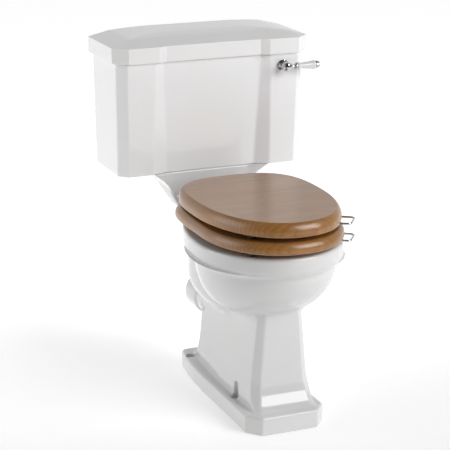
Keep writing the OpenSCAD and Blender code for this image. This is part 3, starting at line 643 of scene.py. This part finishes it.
def cut_box(half, front, back, z0, z1, corner=14):
    """Box with cut corners between two heights."""
    x = np.array([half - corner, half, half, half - corner])
    y = np.array([front, front + corner, back - corner, back])
    return loft("hollow", [mirrored(x, y, z0), mirrored(x, y, z1)])


def foot_hollow():
    """The hollow under the pedestal, narrower step by step on the way up."""
    return [cut_box(54, -228, 102, -1, 120), cut_box(46, -224, 96, 119, 145),
            cut_box(42, -222, -118, 144, 200)]


def rear_hollows():
    """The open hollows beside the trap, under the shelf."""
    outline = [(56, 262), (76, 258), (88, 280), (93, 320), (93, 428), (56, 428)]
    made = []
    for side in (-1, 1):
        rings = [np.array([(side * x, y, z) for x, z in outline]) for y in (30.0, 320.0)]
        made.append(loft("hollow", rings if side < 0 else rings[::-1]))
    return made


def fixing_holes():
    """Holes for the floor screws, the cistern bolts with their hand holes, the seat studs and the seal."""
    made = []
    for sx in (-1, 1):
        for sy in (-1, 1):
            x, y = sx * SCREW_X, sy * SCREW_Y
            made.append(upright("screw_hole", x, y, -1, FOOT_H + 20, SCREW_R))
            made.append(upright("recess", x, y, RECESS_LOW, RECESS_TOP, RECESS_R))
        made.append(upright("bolt_hole", sx * BOLT_X, OUTLET_Y, 380, 530, BOLT_R))
        made.append(upright("hand_hole", sx * BOLT_X, OUTLET_Y, 380, HAND_HOLE_TOP, HAND_HOLE_R))
        made.append(upright("stud_hole", sx * PILLAR_X, HINGE_Y, 395, 455, STUD_R))
    made.append(upright("seal_seat", 0, OUTLET_Y, DECK_Z - SEAL_SEAT_DEPTH, DECK_Z + 1, SEAL_SEAT_R))
    return made


# ---------------------------------------------------------------- cistern
TANK_WALL, TANK_FLOOR = 11, 13
TAIL_HOLE_R, COUPLING_HOLE_R, LEVER_HOLE_R, INLET_HOLE_R = 25, 10, 9, 11.5
WALL_HOLE_X, WALL_HOLE_Z, WALL_HOLE_R = 190, 740, 4
PLATE_HALF_W, PLATE_HALF_D, PLATE_DEPTH = 90, 32, 3.2
CHINA_EDGE, EDGE_STEPS = 4.5, 5
SHARP_EDGE = 35  # degrees
LID_CROWN = 18
CROWN_IN = 52
# Crown of the lid from its edge inwards: size of the ring, share of the crown's height.
DOME_STEPS = [(1, 0.68), (0.94, 0.75), (0.87, 0.82), (0.76, 0.9), (0.63, 0.96), (0.5, 1)]
SKIRT_IN, SKIRT_BACK_IN, SKIRT_WALL, SKIRT_DROP = 24.5, 20, 8.5, 10
# Right hand corners of the plans from the front panel round to the back.
TANK_FOOT_PLAN = [(118, 201), (157, 187.5), (224, 187.5), (245.5, 210), (245.5, TANK_BACK)]
TANK_TOP_PLAN = [(131, 186), (153, 175), (228, 175), (250, 198), (250, TANK_BACK)]
LID_PLAN = [(125, 174), (147, 165), (226, 165.5), (LID_HALF_W, 196), (LID_HALF_W, LID_BACK)]
# How far each corner moves for 1 mm of inset; the back corner's y follows an inset of its own.
INSET_X = np.array([0.5, 0.4, -0.4, -1, -1])
INSET_Y = np.array([1, 1, 1, 0.4])


def plan_ring(plan, inset, back_inset, z):
    x = plan[:, 0] + INSET_X * inset
    y = plan[:, 1] + np.append(INSET_Y * inset, -back_inset)
    return mirrored(x, y, z)


def tank_outline(t, inset, z):
    """Tank plan: t from 0 at the foot to 1 at the lid."""
    return plan_ring(mix(np.array(TANK_FOOT_PLAN), np.array(TANK_TOP_PLAN), t), inset, inset, z)


def lid_outline(inset, back_inset, z):
    """Lid plan drawn in by one inset at the front and sides and by another at the back."""
    return plan_ring(np.array(LID_PLAN), inset, back_inset, z)


def tank_glazed():
    tank = loft("tank_glazed", [tank_outline(0, 0, DECK_Z), tank_outline(1, 0, TANK_TOP_Z)])
    bevel(tank, CHINA_EDGE, 15, EDGE_STEPS)
    inside = loft("inside", [tank_outline(0.04, TANK_WALL, DECK_Z + TANK_FLOOR),
                             tank_outline(1.01, TANK_WALL, TANK_TOP_Z + 3)])
    holes = [inside, upright("outlet", 0, OUTLET_Y, DECK_Z - 1, DECK_Z + 19, TAIL_HOLE_R)]
    for side in (-1, 1):
        holes.append(upright("bolt", side * BOLT_X, OUTLET_Y, DECK_Z - 1, DECK_Z + 6, COUPLING_HOLE_R))
        x = side * WALL_HOLE_X
        holes.append(rod("wall_hole", (x, TANK_BACK - 20, WALL_HOLE_Z), (x, TANK_BACK + 10, WALL_HOLE_Z),
                         WALL_HOLE_R))
    spindle = (low_mm("lever_rose") + high_mm("lever_rose")) / 2
    holes.append(rod("lever_hole", (spindle.x, 160, spindle.z), (spindle.x, 200, spindle.z), LEVER_HOLE_R))
    inlet = (low_mm("fill_valve_backnut") + high_mm("fill_valve_backnut")) / 2
    holes.append(rod("inlet_hole", (230, inlet.y, inlet.z), (260, inlet.y, inlet.z), INLET_HOLE_R))
    x, y = np.full(2, float(PLATE_HALF_W)), OUTLET_Y + np.array([-PLATE_HALF_D, PLATE_HALF_D], float)
    plate = loft("plate_recess", [mirrored(x, y, z) for z in (DECK_Z - 1, DECK_Z + PLATE_DEPTH)])
    combine(tank, holes + [plate], "DIFFERENCE")
    return shade_smooth(tank, SHARP_EDGE)


def lid_glazed():
    """Loose lid: domed crown, hollow underside and a skirt that drops inside the tank."""
    edge_z = LID_TOP_Z - LID_CROWN
    crown = lid_outline(CROWN_IN, 2, 0)
    dome = [crown * [k, k, 1] + [0, (1 - k) * (LID_BACK - 2), edge_z + share * LID_CROWN]
            for k, share in DOME_STEPS]
    lid = loft("lid_glazed", [lid_outline(0.8, 0, TANK_TOP_Z), lid_outline(0, 0, edge_z)] + dome)
    bevel(lid, CHINA_EDGE, 12, EDGE_STEPS)
    skirt = loft("skirt", [lid_outline(SKIRT_IN, SKIRT_BACK_IN, z)
                           for z in (TANK_TOP_Z - SKIRT_DROP, TANK_TOP_Z + 5)])
    combine(lid, [skirt], "UNION")
    inner = loft("inner", [lid_outline(SKIRT_IN + SKIRT_WALL, SKIRT_BACK_IN + 8, z)
                           for z in (TANK_TOP_Z - SKIRT_DROP - 1, TANK_TOP_Z + 8)])
    hollow = loft("hollow", [lid_outline(14, 12, TANK_TOP_Z + 7), lid_outline(16, 14, edge_z - 8)])
    combine(lid, [inner, hollow], "DIFFERENCE")
    return shade_smooth(lid, SHARP_EDGE)


# ---------------------------------------------------------------- seat
# Egg outlines: centre, half width, reach to front and to back, fullness of front and of back.
RING_SHAPE = (-150, 170, 216, 236, 2.15, 5.2)
COVER_SHAPE = (-106, 170, 262, 205, 2.16, 3)
HOLE_SHAPE = (-125, 112, 172, 128, 2.3, 2.3)
HOLE_EDGE = 10
QUARTER = range(0, 91, 15)  # degrees, one rounded edge


def turned_edge(z0, z1, under, widest, reach, stop):
    """Edge profile from below: a small round under, then one long arc that stops short of flat."""
    low = [(z0 + under * (1 - math.cos(math.radians(a))), under * (1 - math.sin(math.radians(a))))
           for a in QUARTER]
    height = (z1 - widest) / math.sin(math.radians(stop))
    arc = [(widest + height * math.sin(a), reach * (1 - math.cos(a)))
           for a in (math.radians(stop * k / 14) for k in range(15))]
    return low + [p for p in arc if p[0] > low[-1][0] + 0.01]


def seat_cover_oak():
    profile = turned_edge(COVER_Z0, COVER_Z1, 5, COVER_Z0 + 11, 22, 62)
    cover = loft("seat_cover_oak", [ring_of_egg(COVER_SHAPE, z, d) for z, d in profile])
    bevel(cover, 0.8, 20, 2)
    return shade_smooth(cover, 40)


def seat_ring_oak():
    profile = turned_edge(RING_Z0, RING_Z1, 6, RING_Z0 + 10, 16, 75)
    ring = loft("seat_ring_oak", [ring_of_egg(RING_SHAPE, z, d) for z, d in profile])
    edges = [(RING_Z0 - 1, -5), (RING_Z0, -4), (RING_Z0 + 4, 0)]
    edges += [(RING_Z1 - HOLE_EDGE + HOLE_EDGE * math.sin(a), -HOLE_EDGE * (1 - math.cos(a)))
              for a in (math.radians(step) for step in QUARTER)]
    edges.append((RING_Z1 + 1, -HOLE_EDGE))
    hole = loft("hole", [ring_of_egg(HOLE_SHAPE, z, d) for z, d in edges])
    combine(ring, [hole], "DIFFERENCE")
    return shade_smooth(ring, 40)


# ---------------------------------------------------------------- put together
# The pan is the same white china as the tank and lid, but its glaze is tinted darker (0.71 against 0.885).
# This is painted shade for the darker bowl front and for the shelf lying in shadow under the tank.
PAN_CHINA_PAINTED_SHADE = china("pan_glaze_painted_shade", (0.71, 0.71, 0.715))
TANK_CHINA = china("tank_glaze", (0.885, 0.885, 0.895))
LID_CHINA = china("lid_glaze", (0.885, 0.885, 0.89))
GRIP_CHINA = china("grip_glaze")
RING_OAK, COVER_OAK = oak("ring_oak_wood", 3.1), oak("cover_oak_wood", 7.7)
CHROME = metal("chrome", (0.62, 0.63, 0.65), 0.06)
ZINC = metal("zinc", (0.62, 0.63, 0.64), 0.3, 0.1, (1, 1, 4))
BRASS = metal("brass", (0.72, 0.52, 0.22), 0.26, 0.08)
RUBBER = moulded("rubber", (0.028, 0.028, 0.03), 0.62, 900.0, 0.3)
WHITE_PLASTIC = moulded("white_plastic", (0.82, 0.82, 0.79), 0.4)
FLOAT_PLASTIC = moulded("float_plastic", (0.72, 0.2, 0.04), 0.3, 300.0, 0.1)


def stand_for(piece, body, node, material):
    piece.data.materials.clear()
    piece.data.materials.append(material)
    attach(piece, body)
    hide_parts(node)


def build_replacements():
    stand_for(pan_glazed(), "pan_and_cistern", "pan", PAN_CHINA_PAINTED_SHADE)
    stand_for(tank_glazed(), "pan_and_cistern", "cistern_tank", TANK_CHINA)
    stand_for(lid_glazed(), "lid", "cistern_lid", LID_CHINA)
    stand_for(seat_ring_oak(), "seat", "seat_ring", RING_OAK)
    stand_for(seat_cover_oak(), "cover", "seat_cover", COVER_OAK)


SLOT_LOOKS = {
    "pan_china": PAN_CHINA_PAINTED_SHADE, "tank_china": TANK_CHINA, "lid_china": LID_CHINA, "grip_china": GRIP_CHINA,
    "ring_oak": RING_OAK, "cover_oak": COVER_OAK, "chrome_plate": CHROME, "zinc_steel": ZINC,
    "brass_metal": BRASS, "black_rubber": RUBBER, "white_plastic": WHITE_PLASTIC,
    "float_plastic": FLOAT_PLASTIC,
}


def repaint_cad_nodes():
    """Gives each CAD node the finished material of the slot its own material is named after."""
    for obj in nodes.values():
        for slot in obj.material_slots:
            name = slot.material.name.split(".")[0]
            if name in SLOT_LOOKS:
                slot.material = SLOT_LOOKS[name]
            else:
                print("no look for", obj.name, name)


# ---------------------------------------------------------------- stage, light and camera
ROOM_FRONT, ROOM_BACK, ROOM_TOP = 0.03, 0.8, 0.45
FLOOR_GLOW_FRONT, FLOOR_GLOW_BACK, FLOOR_GLOW_REACH = 0.02, 0.7, 1.2
FLOOR_HALF, FLOOR_GAP = 20, 0.0005
# Softboxes: place, aim, width, height, watts.
BOXES = {
    "box_left": ((-3.2, 0.9, 1.5), (0, 0, 0.5), 2.6, 2.4, 33),
    "box_right": ((2.0, -3.0, 2.4), (0, 0, 0.6), 2.8, 2.4, 127),
}
CAMERA_AT = (-1.5332, -3.6142, 1.5873)
CAMERA_PITCH, CAMERA_AZIMUTH, CAMERA_LENS = 16.463, 22.4006, 134.1


def floor_material():
    """Pale floor with a glow that grows to the back, as on a sweep lit from behind."""
    mat, tree, shader = new_material("floor_white")
    place = stretched(tree, (1, 1, 1))
    tree.links.new(ramp(tree, noise(tree, place, 3.0), [(0.3, grey(0.9)), (0.7, grey(0.92))]),
                   shader.inputs["Base Color"])
    shader.inputs["Roughness"].default_value = 0.9
    shader.inputs["Specular IOR Level"].default_value = 0.1
    shader.inputs["Emission Color"].default_value = (1, 1, 1, 1)
    glow = put(tree, "ShaderNodeMapRange", From_Min=-FLOOR_GLOW_REACH, From_Max=FLOOR_GLOW_REACH,
               To_Min=FLOOR_GLOW_FRONT, To_Max=FLOOR_GLOW_BACK)
    axes = tree.nodes.new("ShaderNodeSeparateXYZ")
    tree.links.new(place, axes.inputs["Vector"])
    tree.links.new(axes.outputs["Y"], glow.inputs["Value"])
    tree.links.new(glow.outputs["Result"], shader.inputs["Emission Strength"])
    return mat


def build_floor():
    mesh = bpy.data.meshes.new("floor")
    h = FLOOR_HALF
    mesh.from_pydata([(-h, -h, 0), (h, -h, 0), (h, h, 0), (-h, h, 0)], [], [(0, 1, 2, 3)])
    mesh.materials.append(floor_material())
    floor = add_object("floor", mesh)
    floor.location.z = -FLOOR_GAP


def build_world():
    """Plain grey room: bright behind the object, dark in front, dimmer overhead."""
    world = bpy.data.worlds.new("studio")
    bpy.context.scene.world = world
    world.use_nodes = True
    tree = world.node_tree
    coords = tree.nodes.new("ShaderNodeTexCoord")
    axes = tree.nodes.new("ShaderNodeSeparateXYZ")
    tree.links.new(coords.outputs["Generated"], axes.inputs["Vector"])
    depth = put(tree, "ShaderNodeMapRange", From_Min=-0.7, From_Max=0.8,
                To_Min=ROOM_FRONT, To_Max=ROOM_BACK)
    tree.links.new(axes.outputs["Y"], depth.inputs["Value"])
    height = put(tree, "ShaderNodeMapRange", From_Min=0.2, From_Max=1.0,
                 To_Min=1.0, To_Max=ROOM_TOP)
    tree.links.new(axes.outputs["Z"], height.inputs["Value"])
    both = put(tree, "ShaderNodeMath", operation="MULTIPLY")
    tree.links.new(depth.outputs["Result"], both.inputs[0])
    tree.links.new(height.outputs["Result"], both.inputs[1])
    tree.nodes["Background"].inputs["Color"].default_value = (1, 1, 1, 1)
    tree.links.new(both.outputs["Value"], tree.nodes["Background"].inputs["Strength"])


def build_lights():
    for name, (at, aim, width, height, power) in BOXES.items():
        light = bpy.data.lights.new(name, "AREA")
        light.shape = "RECTANGLE"
        light.size, light.size_y = width, height
        light.energy = power
        obj = add_object(name, light)
        obj.location = at
        obj.rotation_euler = (Vector(aim) - Vector(at)).to_track_quat("-Z", "Y").to_euler()


def build_camera():
    data = bpy.data.cameras.new("camera")
    data.lens = CAMERA_LENS
    data.sensor_width = 36
    cam = add_object("camera", data)
    cam.location = CAMERA_AT
    cam.rotation_euler = Euler((math.radians(90 - CAMERA_PITCH), 0, math.radians(-CAMERA_AZIMUTH)))
    bpy.context.scene.camera = cam


bpy.context.scene.view_settings.view_transform = "Standard"
build_camera()
build_floor()
build_world()
build_lights()
build_replacements()
repaint_cad_nodes()
